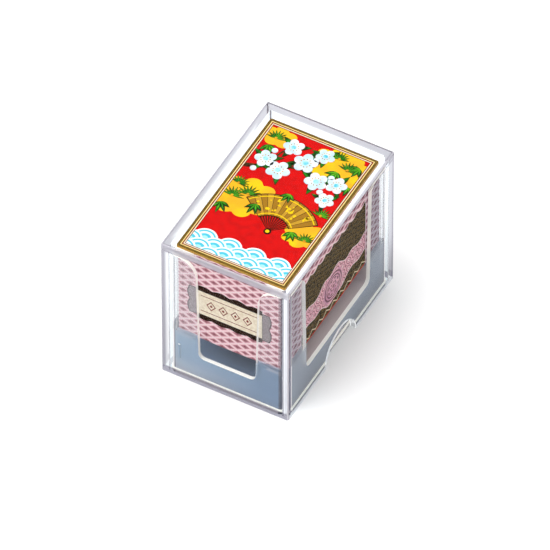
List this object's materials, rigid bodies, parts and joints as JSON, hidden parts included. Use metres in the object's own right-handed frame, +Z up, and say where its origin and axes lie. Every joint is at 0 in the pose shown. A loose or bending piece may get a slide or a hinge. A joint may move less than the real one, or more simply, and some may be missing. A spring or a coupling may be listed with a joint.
{
  "type": "hanafuda card deck",
  "caption": "Stack of small stiff flower cards in printed wrapping paper, under a gilt-edged title card, in a hazy windowed tray with a clear lift-off cover.",
  "frame": {"origin": "middle of the case's foot, on the table", "axes": "+Z up, X across the case, Y along it, with the labelled end of the deck facing -Y"},
  "size_m": [0.041, 0.0628, 0.0529],
  "materials": {
    "clear_plastic": "polished",
    "hazy_plastic": "satin",
    "title_board": "satin",
    "wrapping_paper": "satin",
    "label_paper": "matte",
    "card_board": "matte"
  },
  "bodies": {
    "tray": {"case_tray": "hazy_plastic"},
    "cover": {"case_cover": "clear_plastic"},
    "deck": {"deck_wrapper": "wrapping_paper", "end_label": "label_paper", "card_pine_1": "card_board", "card_pine_2": "card_board", "card_pine_3": "card_board", "card_pine_4": "card_board", "card_plum_1": "card_board", "card_plum_2": "card_board", "card_plum_3": "card_board", "card_plum_4": "card_board", "card_cherry_1": "card_board", "card_cherry_2": "card_board", "card_cherry_3": "card_board", "card_cherry_4": "card_board", "card_wisteria_1": "card_board", "card_wisteria_2": "card_board", "card_wisteria_3": "card_board", "card_wisteria_4": "card_board", "card_iris_1": "card_board", "card_iris_2": "card_board", "card_iris_3": "card_board", "card_iris_4": "card_board", "card_peony_1": "card_board", "card_peony_2": "card_board", "card_peony_3": "card_board", "card_peony_4": "card_board", "card_bush_clover_1": "card_board", "card_bush_clover_2": "card_board", "card_bush_clover_3": "card_board", "card_bush_clover_4": "card_board", "card_pampas_1": "card_board", "card_pampas_2": "card_board", "card_pampas_3": "card_board", "card_pampas_4": "card_board", "card_chrysanthemum_1": "card_board", "card_chrysanthemum_2": "card_board", "card_chrysanthemum_3": "card_board", "card_chrysanthemum_4": "card_board", "card_maple_1": "card_board", "card_maple_2": "card_board", "card_maple_3": "card_board", "card_maple_4": "card_board", "card_willow_1": "card_board", "card_willow_2": "card_board", "card_willow_3": "card_board", "card_willow_4": "card_board", "card_paulownia_1": "card_board", "card_paulownia_2": "card_board", "card_paulownia_3": "card_board", "card_paulownia_4": "card_board", "card_spare": "card_board"},
    "title": {"title_card": "title_board"}
  },
  "joints": [
    {"name": "cover_lift", "type": "slide", "parent": "tray", "child": "cover", "axis": [0, 0, 1], "range_m": [0, 0.12]},
    {"name": "deck_lift", "type": "slide", "parent": "tray", "child": "deck", "axis": [0, 0, 1], "range_m": [0, 0.036]},
    {"name": "title_lift", "type": "slide", "parent": "deck", "child": "title", "axis": [0, 0, 1], "range_m": [0, 0.024]}
  ],
  "couplings": [
    {"joint": "deck_lift", "follows": "cover_lift", "ratio": 0.3},
    {"joint": "title_lift", "follows": "cover_lift", "ratio": 0.2}
  ]
}
